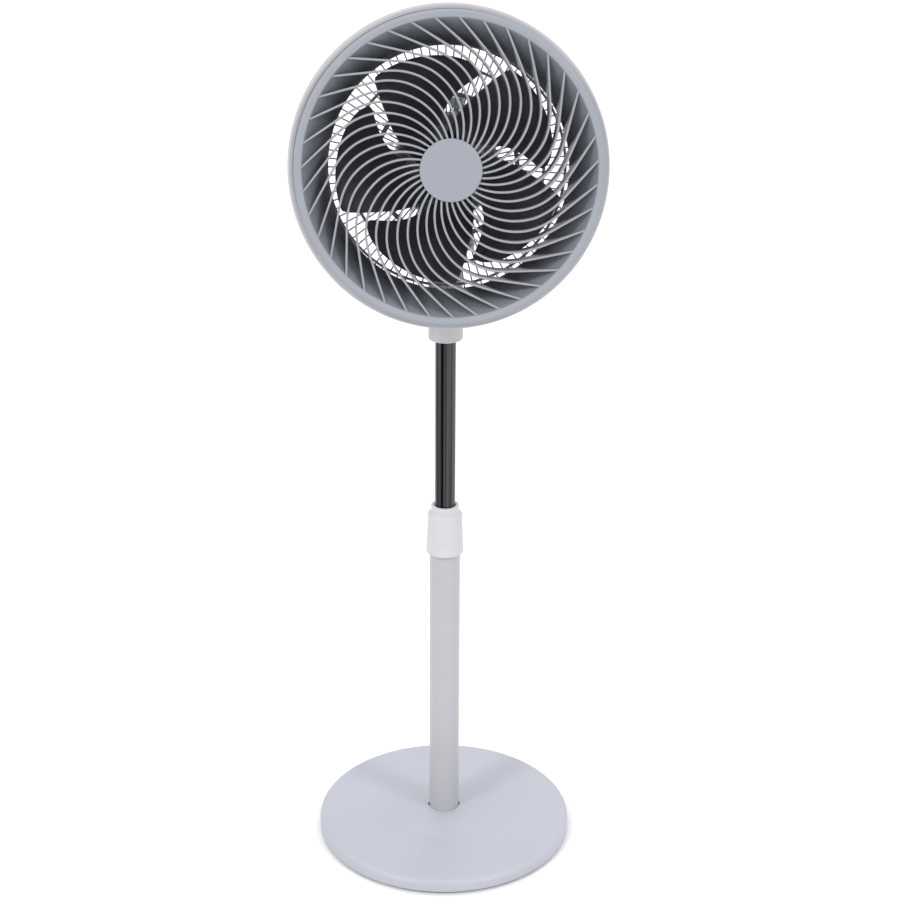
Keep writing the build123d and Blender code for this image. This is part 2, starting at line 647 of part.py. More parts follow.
def rim_shell():
    outline = [
        (RIM_LIP_R - 1.2, RIM_FRONT),
        (RIM_LIP_R, RIM_FRONT - 1.4),
        (RIM_R - 0.7, RIM_FRONT - 12.0),
        (RIM_R, RIM_FRONT - 22.0),
        (RIM_R - 3.0, RIM_BACK + 10.0),
        (RIM_R - 8.0, RIM_BACK),
        (RIM_R - 14.0, RIM_BACK),
        (RIM_R - 14.0, RIM_BACK + 2.4),
        (RIM_R - 8.8, RIM_BACK + 2.4),
        (RIM_R - 5.4, RIM_BACK + 11.0),
        (RIM_R - 3.4, RIM_FRONT - 12.0),
        (RIM_R - 4.4, RIM_FRONT - 6.0),
        (SEAM_R + 0.5, RIM_FRONT - 3.0),
        (SEAM_R + 0.5, RIM_FRONT),
    ]
    shell = turned(outline)
    post = Pos(RIM_POST_R, 0, 0) * (rod(3.6, RIM_BACK + 2.4, RIM_FRONT - 6.0) - rod(1.6, 0, RIM_FRONT))
    return shell, post


def guard_bar():
    """One bar of the rear guard: radial over the inlet, then curving forward to the rim."""
    half = GUARD_BAR_H / 2
    end_s = RIM_BACK + 2.4
    back = Line((GUARD_HUB_R - 2.0, GUARD_S - half), (GUARD_RING_3, GUARD_S - half))
    bend = TangentArc(back @ 1, (GUARD_EDGE_R, end_s - 6.0), tangent=(1, 0))
    inner_r = GUARD_EDGE_R - GUARD_BAR_H
    foot = Polyline(bend @ 1, (GUARD_EDGE_R, end_s), (inner_r, end_s), (inner_r, end_s - 6.0))
    bend_in = TangentArc(foot @ 1, (GUARD_RING_3 - 1.0, GUARD_S + half), tangent=(0, -1))
    front = Polyline(bend_in @ 1, (GUARD_HUB_R - 2.0, GUARD_S + half), back @ 0)
    outline = make_face([back, bend, foot, bend_in, front])
    return extrude(Plane.XZ * outline, GUARD_BAR_T / 2, both=True)


def rear_grille():
    low = GUARD_S - 2.2
    high = GUARD_S + 2.2
    hub = ring(GUARD_HUB_R, 19.2, low + 0.2, high)
    rings = [
        ring(GUARD_RING_1 + 2.6, GUARD_RING_1 - 2.6, low, high),
        ring(GUARD_RING_2 + 1.7, GUARD_RING_2 - 1.7, low, high),
        ring(GUARD_RING_3 + 1.5, GUARD_RING_3 - 1.5, low, high),
        ring(GUARD_EDGE_R, GUARD_EDGE_R - 3.9, RIM_BACK - 2.0, RIM_BACK + 2.2),
    ]
    return hub + rings + around(guard_bar(), GUARD_BARS)


def guard_parts():
    shell, post = rim_shell()
    write_head("rim_shell", shell + around(post, 6, 30.0))
    write_head("bell_ring", bell_ring())
    write_head("front_grille", front_grille())
    cap = rod(CAP_R, CAP_FRONT - 3.0, CAP_FRONT)
    cap = fillet(cap.edges().group_by(Axis.Z)[-1], 1.6)
    write_head("grille_cap", cap)
    write_head("rear_grille", rear_grille())
    nut = ring(31.0, 19.05, GUARD_S + 2.3, GUARD_S + 7.5)
    nut -= around(Pos(32.5, 0, 0) * rod(3.2, 0, 40), 12)
    write_head("grille_nut", nut)


if __name__ == "__main__":
    os.makedirs("parts", exist_ok=True)
    base_parts()
    mast_parts()
    neck_parts()
    swivel_parts()
    motor_parts()
    drive_parts()
    control_parts()
    blade_parts()
    guard_parts()
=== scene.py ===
import json
import math

import bmesh
import bpy
from mathutils import Matrix, Vector


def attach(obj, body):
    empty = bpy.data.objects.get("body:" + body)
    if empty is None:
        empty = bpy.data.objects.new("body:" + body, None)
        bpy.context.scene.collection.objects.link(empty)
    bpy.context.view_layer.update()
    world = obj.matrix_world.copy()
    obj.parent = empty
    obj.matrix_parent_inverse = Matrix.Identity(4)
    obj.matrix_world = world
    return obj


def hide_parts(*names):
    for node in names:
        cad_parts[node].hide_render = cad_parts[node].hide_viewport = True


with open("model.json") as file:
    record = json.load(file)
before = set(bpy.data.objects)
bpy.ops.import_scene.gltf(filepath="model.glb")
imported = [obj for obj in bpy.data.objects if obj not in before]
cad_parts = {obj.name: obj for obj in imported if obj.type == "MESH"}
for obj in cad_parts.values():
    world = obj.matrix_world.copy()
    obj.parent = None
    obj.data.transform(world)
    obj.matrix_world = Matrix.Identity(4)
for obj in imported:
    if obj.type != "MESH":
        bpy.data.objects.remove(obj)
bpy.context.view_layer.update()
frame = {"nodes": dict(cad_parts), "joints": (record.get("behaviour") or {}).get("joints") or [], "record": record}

# Lengths are millimetres. They become metres in make_object and in the matrices that place a piece.
MM = 0.001
TURN = 2 * math.pi

# ---- sizes of the stand ----
BASE_R = 162.4
BASE_EDGE_H = 20.0
BOSS_R = 62.0
BOSS_H = 28.0
BASE_SKIN = 2.5
FOOT_H = 3.0
FOOT_R = 9.0
FOOT_CIRCLE_R = 138.0
FEET = 6
NOTCH_DEPTH = 1.5
OUTER_TUBE_R = 19.0
OUTER_TUBE_FOOT = 14.0
OUTER_TUBE_TOP = 404.0
INNER_TUBE_R = 12.5
INNER_TUBE_FOOT = 262.0
INNER_TUBE_TOP = 694.0
TUBE_WALL = 1.2
COLLAR_FOOT = 395.0
COLLAR_SHOULDER = 447.0
COLLAR_TOP = 458.0
COLLAR_R = 23.2
COLLAR_SHOULDER_R = 21.4
COLLAR_NECK_R = 17.1
COLLAR_BORE_R = 16.6
COLLAR_GAP = 0.4
COLLAR_FLUTES = 24
FLUTE_DEPTH = 0.5

# ---- sizes of the head, in its own frame, where s runs along the fan's axis to the outlet ----
RIM_R = 178.9
RIM_LIP_R = 176.4
RIM_FRONT = 77.0
RIM_BACK = 32.0
SEAM_R = 171.6
RING_FRONT = 93.0
RING_INNER_R = 163.0
BELL_EDGE_R = 162.0
THROAT_R = 134.5
THROAT_S = 50.0
RIBS = 39
RIB_T = 2.5
RIB_START = 31.0
RIB_END = 164.0
RIB_BACK_S = 87.0
RIB_BACK_DROP = 27.0
RIB_DROP_TO_R = 136.0
CAP_R = 34.3
CAP_FRONT = 101.0
GUARD_S = 6.0
GUARD_EDGE_R = 164.5
GUARD_BARS = 88
BAR_BEND_R = 134.0
BAR_BEND_WIDTH = 28.3
HUB_R = 31.0
HUB_BACK = 17.0
HUB_FRONT = 60.0
BORE_R = 4.0
SHAFT_BOSS_R = 12.0
BLADES = 5
BLADE_T = 2.2
BLADE_ROOT_R = 28.0
BLADE_TIP_R = 117.5
MOTOR_BACK = -84.0
WORM_S = -58.0
WHEEL_X = 15.9
TILT_KNOB_FROM = 20.3


def joint(name):
    return next(j for j in frame["joints"] if j["name"] == name)


def head_matrix():
    """The head's own frame: X right, Y up, Z towards the air outlet."""
    out = Vector(joint("fan_spin")["axis"])
    up = Vector(joint("oscillation")["axis"])
    right = up.cross(out)
    centre = Vector(joint("fan_spin")["pos_m"])
    turn = Matrix((right, up, out)).transposed().to_4x4()
    return Matrix.Translation(centre) @ turn


HEAD = head_matrix()
WORLD = Matrix.Identity(4)
REPLACED = set()


# ---------------------------------------------------------------- mesh helpers

def make_object(name, verts, faces, place, body, replaced, slot):
    """A mesh from millimetre points in a frame of their own, riding a body of the fan."""
    mesh = bpy.data.meshes.new(name)
    mesh.from_pydata([place @ (Vector(v) * MM) for v in verts], [], faces)
    mesh.validate()
    bm = bmesh.new()
    bm.from_mesh(mesh)
    bmesh.ops.remove_doubles(bm, verts=bm.verts, dist=1e-7)
    bmesh.ops.recalc_face_normals(bm, faces=bm.faces)
    bm.to_mesh(mesh)
    bm.free()
    mesh.polygons.foreach_set("use_smooth", [True] * len(mesh.polygons))
    obj = bpy.data.objects.new(name, mesh)
    bpy.context.scene.collection.objects.link(obj)
    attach(obj, body)
    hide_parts(*replaced)
    REPLACED.update(replaced)
    return obj


def even_normals(obj):
    """Large faces keep flat shading next to their small rounded edges."""
    mod = obj.modifiers.new("even_normals", "WEIGHTED_NORMAL")
    mod.keep_sharp = True
    mod.weight = 50
    return obj


def evenly(start, end, steps):
    """Values from start to end in equal steps, with both ends."""
    return [start + (end - start) * k / steps for k in range(steps + 1)]


def cut_walls(outline, step, closed=True):
    """Adds points along the tall stretches of an outline, for the flutes to follow."""
    fine = []
    count = len(outline)
    for i in range(count if closed else count - 1):
        (r, z), (next_r, next_z) = outline[i], outline[(i + 1) % count]
        cuts = int(abs(next_z - z) / step) + 1
        fine += list(zip(evenly(r, next_r, cuts), evenly(z, next_z, cuts)))[:-1]
    return fine if closed else fine + [outline[-1]]


def rounded(corners, steps=4):
    """An outline of (x, y, corner radius) with each corner turned into an arc."""
    out = []
    count = len(corners)
    for i, (x, y, radius) in enumerate(corners):
        here = Vector((x, y))
        before = Vector(corners[i - 1][:2]) - here
        after = Vector(corners[(i + 1) % count][:2]) - here
        if radius <= 0:
            out.append((x, y))
            continue
        angle = before.angle(after)
        reach = radius / math.tan(angle / 2)
        reach = min(reach, 0.48 * before.length, 0.48 * after.length)
        radius = reach * math.tan(angle / 2)
        start = here + before.normalized() * reach
        end = here + after.normalized() * reach
        middle = (before.normalized() + after.normalized()).normalized()
        centre = here + middle * (radius / math.sin(angle / 2))
        first = start - centre
        sweep = first.angle_signed(end - centre)
        for k in range(steps + 1):
            turned = first.copy()
            turned.rotate(Matrix.Rotation(-sweep * k / steps, 2))
            out.append(tuple(centre + turned))
    return out


def lathe(profile, segments, wave=None, closed=True):
    """Turns an outline of (radius, height) round Z. wave(angle, r, z) may change the radius."""
    verts, faces = [], []
    count = len(profile)
    for k in range(segments):
        angle = TURN * k / segments
        for r, z in profile:
            radius = r + (wave(angle, r, z) if wave else 0.0)
            verts.append((radius * math.cos(angle), radius * math.sin(angle), z))
    for k in range(segments):
        a = k * count
        b = (k + 1) % segments * count
        for i in range(count if closed else count - 1):
            j = (i + 1) % count
            faces.append((a + i, b + i, b + j, a + j))
    return verts, faces


def join(*parts):
    verts, faces = [], []
    for some_verts, some_faces in parts:
        offset = len(verts)
        verts += some_verts
        faces += [tuple(i + offset for i in f) for f in some_faces]
    return verts, faces


def spun(part, count, start=0.0):
    """Copies of a part set evenly round Z."""
    copies = []
    verts, faces = part
    for k in range(count):
        a = start + TURN * k / count
        c, s = math.cos(a), math.sin(a)
        copies.append(([(x * c - y * s, x * s + y * c, z) for x, y, z in verts], faces))
    return join(*copies)


def tube_grid(rings):
    """Skins a list of closed cross sections, each with the same number of points, and caps the ends."""
    verts = [p for one in rings for p in one]
    count = len(rings[0])
    faces = []
    for k in range(len(rings) - 1):
        a, b = k * count, (k + 1) * count
        for i in range(count):
            j = (i + 1) % count
            faces.append((a + i, a + j, b + j, b + i))
    faces.append(tuple(range(count))[::-1])
    last = (len(rings) - 1) * count
    faces.append(tuple(range(last, last + count)))
    return verts, faces


def between(points, x):
    """Smooth value at x on a course of (x, value) points, by a Catmull-Rom curve."""
    for i in range(len(points) - 1):
        if x <= points[i + 1][0] or i == len(points) - 2:
            break
    x0, y0 = points[i]
    x1, y1 = points[i + 1]
    before = points[i - 1] if i > 0 else (2 * x0 - x1, 2 * y0 - y1)
    after = points[i + 2] if i + 2 < len(points) else (2 * x1 - x0, 2 * y1 - y0)
    slope0 = (y1 - before[1]) / (x1 - before[0])
    slope1 = (after[1] - y0) / (after[0] - x0)
    span = x1 - x0
    t = (x - x0) / span
    t2, t3 = t * t, t * t * t
    return (
        y0 * (2 * t3 - 3 * t2 + 1)
        + y1 * (3 * t2 - 2 * t3)
        + span * slope0 * (t3 - 2 * t2 + t)
        + span * slope1 * (t3 - t2)
    )


# ---------------------------------------------------------------- materials

class Nodes:
    """Short ways to add the nodes that the materials share."""

    def __init__(self, name):
        self.material = bpy.data.materials.new(name)
        self.material.use_nodes = True
        self.tree = self.material.node_tree
        self.shader = self.tree.nodes["Principled BSDF"]
        self.place = self.add("ShaderNodeTexCoord").outputs["Object"]

    def add(self, kind, **values):
        node = self.tree.nodes.new(kind)
        for key, value in values.items():
            setattr(node, key, value)
        return node

    def link(self, a, b):
        self.tree.links.new(a, b)

    def noise(self, scale, detail=4.0, roughness=0.55, stretch=None):
        node = self.add("ShaderNodeTexNoise")
        node.inputs["Scale"].default_value = scale
        node.inputs["Detail"].default_value = detail
        node.inputs["Roughness"].default_value = roughness
        source = self.place
        if stretch:
            mapping = self.add("ShaderNodeMapping")
            mapping.inputs["Scale"].default_value = stretch
            self.link(self.place, mapping.inputs["Vector"])
            source = mapping.outputs["Vector"]
        self.link(source, node.inputs["Vector"])
        return node.outputs["Fac"]

    def ramp(self, value, low, high, start=0.3, end=0.7):
        node = self.add("ShaderNodeValToRGB")
        node.color_ramp.elements[0].position = start
        node.color_ramp.elements[0].color = (*low, 1)
        node.color_ramp.elements[1].position = end
        node.color_ramp.elements[1].color = (*high, 1)
        self.link(value, node.inputs["Fac"])
        return node.outputs["Color"]

    def spread(self, value, low, high, start=0.3, end=0.7):
        node = self.add("ShaderNodeMapRange")
        node.inputs["From Min"].default_value = start
        node.inputs["From Max"].default_value = end
        node.inputs["To Min"].default_value = low
        node.inputs["To Max"].default_value = high
        self.link(value, node.inputs["Value"])
        return node.outputs["Result"]

    def mix(self, factor, a, b):
        node = self.add("ShaderNodeMix", data_type="RGBA")
        if isinstance(factor, float):
            node.inputs[0].default_value = factor
        else:
            self.link(factor, node.inputs[0])
        for socket, value in ((node.inputs[6], a), (node.inputs[7], b)):
            if isinstance(value, tuple):
                socket.default_value = (*value, 1)
            else:
                self.link(value, socket)
        return node.outputs[2]

    def edge(self, start, end):
        """1 on convex edges, 0 elsewhere."""
        pointed = self.add("ShaderNodeNewGeometry").outputs["Pointiness"]
        return self.spread(pointed, 0.0, 1.0, start, end)

    def bump(self, heights):
        """Stacks (height, distance in mm, strength) bumps on each other."""
        normal = None
        for height, distance, strength in heights:
            node = self.add("ShaderNodeBump")
            node.inputs["Distance"].default_value = distance * MM
            node.inputs["Strength"].default_value = strength
            self.link(height, node.inputs["Height"])
            if normal:
                self.link(normal, node.inputs["Normal"])
            normal = node.outputs["Normal"]
        self.link(normal, self.shader.inputs["Normal"])

    def set(self, name, value):
        self.shader.inputs[name].default_value = value


def shade(colour, factor):
    return tuple(min(1.0, c * factor) for c in colour)


def moulded(name, colour, rough=0.42, grain=0.03, variation=0.03, coat=0.0, edges=True):
    """Injection-moulded plastic: fine spark-eroded grain, slow colour drift, paler edges that are partly wear and
    partly painted highlight.

    The paler edges show as streaks on the broad base cover, so that one goes without.
    """
    n = Nodes(name)
    drift = n.noise(9.0, 3.0)
    tint = n.ramp(drift, shade(colour, 1 - variation), shade(colour, 1 + variation))
    if edges:
        # Convex edges are painted paler: partly wear, partly painted highlight.
        tint = n.mix(n.edge(0.53, 0.62), tint, shade(colour, 1.10))
    n.link(tint, n.shader.inputs["Base Color"])
    fine = n.noise(2600.0, 2.0, 0.6)
    cloud = n.noise(35.0, 4.0)
    n.link(n.spread(cloud, rough - 0.05, rough + 0.06), n.shader.inputs["Roughness"])
    n.bump([(fine, grain, 0.5), (n.noise(60.0, 2.0), 0.05, 0.12)])
    n.set("IOR", 1.49)
    if coat:
        n.set("Coat Weight", coat)
        n.set("Coat Roughness", 0.18)
    return n.material


def painted(name, colour, rough=0.36):
    """Powder-coated steel: orange peel over a faint drift of tone, with paler edges that are partly wear and
    partly painted highlight.
    """
    n = Nodes(name)
    drift = n.noise(12.0, 3.0)
    tint = n.ramp(drift, shade(colour, 0.975), shade(colour, 1.02))
    # Convex edges are painted paler: partly wear, partly painted highlight.
    edge_wear_and_highlight = n.edge(0.54, 0.64)
    n.link(n.mix(edge_wear_and_highlight, tint, shade(colour, 1.08)), n.shader.inputs["Base Color"])
    n.link(n.spread(n.noise(80.0, 4.0), rough - 0.05, rough + 0.07), n.shader.inputs["Roughness"])
    n.bump([(n.noise(420.0, 2.0), 0.03, 0.35), (n.noise(1900.0, 1.0), 0.01, 0.3)])
    n.set("IOR", 1.5)
    return n.material


def metal(name, colour, rough):
    """Plain machined or cast metal with a fine even grain."""
    n = Nodes(name)
    cloud = n.noise(30.0, 5.0)
    n.link(n.ramp(cloud, shade(colour, 0.95), shade(colour, 1.05)), n.shader.inputs["Base Color"])
    grain = n.noise(700.0, 4.0)
    n.link(n.spread(grain, rough - 0.06, rough + 0.08), n.shader.inputs["Roughness"])
    n.bump([(grain, 0.01, 0.3)])
    n.set("Metallic", 1.0)
    return n.material


DARK_CHROME_LOW = (0.004, 0.004, 0.0045)
# The bright end of the streaks is a painted reflection: lines along the tube that stand in for reflected light.
DARK_CHROME_PAINTED_SHEEN = (0.105, 0.103, 0.112)


def dark_chrome(name):
    """Black-chromed tube: long faint drawing lines, and bright streaks along the tube painted into its colour as
    painted reflection lines.
    """
    n = Nodes(name)
    streaks = n.noise(170.0, 3.0, 0.6, stretch=(1, 1, 0.004))
    n.link(n.ramp(streaks, DARK_CHROME_LOW, DARK_CHROME_PAINTED_SHEEN, 0.40, 0.64), n.shader.inputs["Base Color"])
    haze = n.noise(40.0, 4.0)
    n.link(n.spread(haze, 0.10, 0.20), n.shader.inputs["Roughness"])
    n.bump([(n.noise(1500.0, 2.0, 0.5, stretch=(1, 1, 0.01)), 0.004, 0.3)])
    n.set("Metallic", 1.0)
    return n.material


def cast_iron(name, colour):
    """Rough, blotched casting."""
    n = Nodes(name)
    cloud = n.noise(60.0, 6.0, 0.65)
    n.link(n.ramp(cloud, shade(colour, 0.7), shade(colour, 1.3)), n.shader.inputs["Base Color"])
    n.set("Roughness", 0.7)
    n.set("Metallic", 0.8)
    n.bump([(n.noise(350.0, 6.0), 0.3, 0.6)])
    return n.material


def rubber(name, colour):
    """Dull rubber with a fine pitted grain."""
    n = Nodes(name)
    cloud = n.noise(50.0, 4.0)
    n.link(n.ramp(cloud, shade(colour, 0.8), shade(colour, 1.25)), n.shader.inputs["Base Color"])
    n.link(n.spread(n.noise(300.0, 3.0), 0.62, 0.8), n.shader.inputs["Roughness"])
    n.bump([(n.noise(1500.0, 3.0), 0.04, 0.5)])
    n.set("IOR", 1.5)
    return n.material


def winding_wire(name, colour):
    """Turns of enamelled wire, drawn as fine bands round the stack."""
    n = Nodes(name)
    wave = n.add("ShaderNodeTexWave", wave_type="RINGS", rings_direction="SPHERICAL")
    wave.inputs["Scale"].default_value = 420.0
    wave.inputs["Distortion"].default_value = 1.5
    n.link(n.place, wave.inputs["Vector"])
    bands = n.ramp(wave.outputs["Fac"], shade(colour, 0.45), shade(colour, 1.1))
    n.link(bands, n.shader.inputs["Base Color"])
    n.set("Metallic", 0.9)
    n.set("Roughness", 0.35)
    n.bump([(wave.outputs["Fac"], 0.4, 0.7)])
    return n.material


def laminations(name, colour):
    """A stack of thin steel sheets, drawn as fine bands across the motor's axis."""
    n = Nodes(name)
    wave = n.add("ShaderNodeTexWave", wave_type="BANDS", bands_direction="Y")
    wave.inputs["Scale"].default_value = 320.0
    wave.inputs["Distortion"].default_value = 0.3
    n.link(n.place, wave.inputs["Vector"])
    n.link(n.ramp(wave.outputs["Fac"], shade(colour, 0.6), colour), n.shader.inputs["Base Color"])
    n.set("Metallic", 0.9)
    n.set("Roughness", 0.45)
    n.bump([(wave.outputs["Fac"], 0.1, 0.5)])
    return n.material


def make_materials():
    return {
        "base_plastic": moulded("base_plastic", (0.385, 0.394, 0.452), 0.46, edges=False),
        "neck_plastic": moulded("neck_plastic", (0.47, 0.466, 0.484), 0.44),
        "collar_plastic": moulded("collar_plastic", (0.49, 0.486, 0.51), 0.38),
        "tube_paint": painted("tube_paint", (0.385, 0.381, 0.406)),
        "tube_chrome": dark_chrome("tube_chrome"),
        "rim_plastic": moulded("rim_plastic", (0.415, 0.410, 0.436), 0.46),
        "grille_plastic": moulded("grille_plastic", (0.262, 0.278, 0.318), 0.44),
        # A darker copy of the grille plastic: painted shade for the bell mouth's recessed face between the vanes.
        "bell_plastic_painted_shade": moulded("bell_plastic_painted_shade", (0.155, 0.163, 0.190), 0.50),
        # A lighter, more neutral copy of the grille plastic: painted highlight on the vanes.
        "vane_plastic_painted_highlight": moulded("vane_plastic_painted_highlight", (0.275, 0.281, 0.305), 0.42),
        "guard_plastic": moulded("guard_plastic", (0.30, 0.31, 0.33), 0.45),
        "blade_plastic": moulded("blade_plastic", (0.070, 0.074, 0.094), 0.40, 0.01, 0.06, 0.10),
        "motor_plastic": moulded("motor_plastic", (0.34, 0.35, 0.37), 0.45),
        "inner_plastic": moulded("inner_plastic", (0.05, 0.05, 0.055), 0.5),
        "steel": metal("steel", (0.55, 0.55, 0.57), 0.32),
        "iron": cast_iron("iron", (0.08, 0.08, 0.085)),
        "laminations": laminations("laminations", (0.35, 0.35, 0.37)),
        "copper": winding_wire("copper", (0.55, 0.22, 0.09)),
        "bronze": metal("bronze", (0.50, 0.33, 0.15), 0.38),
        "die_cast": metal("die_cast", (0.50, 0.51, 0.52), 0.5),
        "rubber": rubber("rubber", (0.022, 0.022, 0.022)),
    }


MATERIALS = make_materials()


def dress(obj, slot):
    obj.data.materials.clear()
    obj.data.materials.append(MATERIALS[slot])
    return obj


def piece(name, part, place, body, slot, replaced, even=True, look=None):
    """A built piece in its material. look is a material other than the slot's own."""
    obj = make_object(name, *part, place, body, replaced, slot)
    dress(obj, look or slot)
    if even:
        even_normals(obj)
    return obj


def paint_shade_inside(obj, place, radius, look):
    """Gives the part of a turned piece inside a radius a second, darker material: painted shade."""
    obj.data.materials.append(MATERIALS[look])
    back = place.inverted()
    for face in obj.data.polygons:
        centre = back @ face.center
        if math.hypot(centre.x, centre.y) < radius * MM:
            face.material_index = 1


# ---------------------------------------------------------------- base and mast

def base_shell():
    """The round cover: a low boss in the middle, and open underneath."""
    edge_low = FOOT_H + 1.5
    hole_r = OUTER_TUBE_R + 0.12
    outline = rounded([
        (BASE_R, edge_low, 1.2),
        (BASE_R, BASE_EDGE_H, 6.5),
        (BOSS_R + 4.0, BASE_EDGE_H + 1.7, 60.0),
        (OUTER_TUBE_R + 3.0, BOSS_H - 0.4, 6.0),
        (hole_r, BOSS_H, 0.5),
        (hole_r, BOSS_H - BASE_SKIN, 0),
        (BOSS_R, BASE_EDGE_H + 1.6 - BASE_SKIN, 0),
        (BASE_R - 8.0, BASE_EDGE_H - BASE_SKIN, 0),
        (BASE_R - BASE_SKIN, BASE_EDGE_H - 8.0, 0),
        (BASE_R - BASE_SKIN, edge_low, 0),
    ], 8)

    def notches(angle, r, z):
        """A small notch on each side of the tube."""
        if r > OUTER_TUBE_R + 1.0:
            return 0.0
        return NOTCH_DEPTH * max(0.0, math.cos(2 * angle)) ** 14

    return lathe(outline, 192, notches)


def plain_tube(radius, low, high):
    outline = rounded([
        (radius, low, 0.4),
        (radius, high, 0.4),
        (radius - TUBE_WALL, high, 0.4),
        (radius - TUBE_WALL, low, 0.4),
    ])
    return lathe(outline, 96)


def collar_shell():
    """The twist collar: a band at the foot, a fluted grip and a shoulder down to the inner tube."""
    grip_foot = COLLAR_FOOT + 8.0
    grip_top = COLLAR_SHOULDER - 1.0
    outline = rounded([
        (OUTER_TUBE_R + COLLAR_GAP, COLLAR_FOOT, 0.5),
        (COLLAR_R, COLLAR_FOOT, 1.4),
        (COLLAR_R, COLLAR_FOOT + 7.0, 2.0),
        (COLLAR_R - 0.5, COLLAR_FOOT + 9.0, 2.0),
        (COLLAR_SHOULDER_R - 0.1, COLLAR_SHOULDER - 7.0, 3.0),
        (COLLAR_SHOULDER_R, COLLAR_SHOULDER, 5.5),
        (COLLAR_NECK_R, COLLAR_SHOULDER + 2.0, 1.6),
        (COLLAR_NECK_R, COLLAR_TOP, 1.2),
        (INNER_TUBE_R + COLLAR_GAP, COLLAR_TOP, 0.5),
        (INNER_TUBE_R + COLLAR_GAP, COLLAR_TOP - 4.0, 0),
        (COLLAR_BORE_R, COLLAR_SHOULDER - 1.0, 0),
        (COLLAR_BORE_R, OUTER_TUBE_TOP + 5.0, 0),
        (OUTER_TUBE_R + COLLAR_GAP, OUTER_TUBE_TOP + 4.6, 0),
    ], 5)

    def flutes(angle, r, z):
        """Grooves in the outer face, running out softly at both ends of the grip."""
        if r < COLLAR_SHOULDER_R - 1.2 or not grip_foot < z < grip_top:
            return 0.0
        fade = min(1.0, min(z - grip_foot, grip_top - z) / 5.0)
        groove = max(0.0, math.cos(COLLAR_FLUTES * angle))
        return -FLUTE_DEPTH * fade * groove ** 1.5

    return lathe(cut_walls(outline, 2.5), COLLAR_FLUTES * 16, flutes)


def foot_pads():
    verts, faces = lathe(rounded([
        (0.01, 0, 0),
        (FOOT_R, 0, 0.8),
        (FOOT_R, FOOT_H, 0.4),
        (0.01, FOOT_H, 0),
    ]), 40)
    moved = [(x + FOOT_CIRCLE_R, y, z) for x, y, z in verts]
    return spun((moved, faces), FEET, TURN / (2 * FEET))


def build_base_and_mast():
    piece("base_shell", base_shell(), WORLD, "stand", "base_plastic", ["base_cover"])
    lower = plain_tube(OUTER_TUBE_R, OUTER_TUBE_FOOT, OUTER_TUBE_TOP)
    piece("lower_tube", lower, WORLD, "stand", "tube_paint", ["outer_tube"])
    collar = collar_shell()
    piece("twist_collar", collar, WORLD, "collar", "collar_plastic", ["height_collar"], even=False)
    upper = plain_tube(INNER_TUBE_R, INNER_TUBE_FOOT, INNER_TUBE_TOP)
    piece("upper_tube", upper, WORLD, "mast", "tube_chrome", ["inner_tube"])
    piece("foot_pads", foot_pads(), WORLD, "stand", "rubber", ["rubber_feet"])


# ---------------------------------------------------------------- head shells

def rim_part():
    """The outer shell of the head: a soft barrel outside, and a lip that holds the rear guard."""
    outline = rounded([
        (RIM_LIP_R, RIM_FRONT, 1.8),
        (RIM_R - 0.6, RIM_FRONT - 12.0, 24.0),
        (RIM_R, RIM_FRONT - 22.0, 30.0),
        (RIM_R - 3.0, RIM_BACK + 10.0, 12.0),
        (RIM_R - 8.0, RIM_BACK, 3.0),
        (RIM_R - 14.0, RIM_BACK, 0.6),
        (RIM_R - 14.0, RIM_BACK + 2.4, 0.6),
        (RIM_R - 8.8, RIM_BACK + 2.4, 0),
        (RIM_R - 5.4, RIM_BACK + 11.0, 0),
        (RIM_R - 3.4, RIM_FRONT - 12.0, 0),
        (RIM_R - 4.4, RIM_FRONT - 6.0, 0),
        (SEAM_R + 0.15, RIM_FRONT - 3.0, 0.4),
        (SEAM_R + 0.15, RIM_FRONT, 0.5),
    ], 6)
    return lathe(outline, 240)


# The bell mouth's face from the throat out to the ring's sharp inner edge, as (radius, s).
BELL_COURSE = [(THROAT_R, THROAT_S), (141.5, 65.5), (152.5, 79.5), (BELL_EDGE_R, 90.2)]


def bell_face(radius):
    return between(BELL_COURSE, radius)


def front_ring_part():
    """A flat band with a small bevelled step outside it, and the bell mouth inside its sharp edge."""
    lip = RING_FRONT - 1.0
    wall_r, wall_s = 2.2, 1.4
    face = [(r, bell_face(r)) for r in evenly(THROAT_R, BELL_EDGE_R, 32)]
    band = rounded([
        (BELL_EDGE_R + 0.2, lip - 1.7, 0),
        (RING_INNER_R, lip - 0.6, 0.5),
        (RING_INNER_R + 4.6, lip, 0.8),
        (SEAM_R - 3.0, lip - 0.3, 0.5),
        (SEAM_R - 0.4, lip - 2.6, 1.2),
        (SEAM_R, RIM_FRONT - 6.0, 0),
        (SEAM_R - wall_r, RIM_FRONT - 6.0, 0),
        (SEAM_R - wall_r, lip - 8.0, 0),
        (BELL_EDGE_R + 2.0, lip - 5.0, 0),
    ], 5)
    back = [(r + wall_r, bell_face(r) - wall_s) for r in evenly(BELL_EDGE_R - 2.0, THROAT_R, 20)]
    return lathe(face + band + back, 240)


def cap_part():
    """A nearly flat disc, in rings close enough together to shade evenly."""
    segments = 120
    sag = 0.5
    corner = 1.5
    flat_r = CAP_R - 2.0
    dome = [(r, CAP_FRONT - sag * (r / CAP_R) ** 2) for r in evenly(0.0, flat_r, 14)[1:]]
    edge = [
        (CAP_R - corner + corner * math.sin(a), CAP_FRONT - 2.0 + corner * math.cos(a))
        for a in evenly(0.0, math.pi / 2, 6)
    ]
    outline = dome + edge + [(CAP_R, CAP_FRONT - 3.0)]
    verts, faces = lathe(outline, segments, closed=False)
    faces.append(tuple(k * len(outline) for k in range(segments)))
    return verts, faces


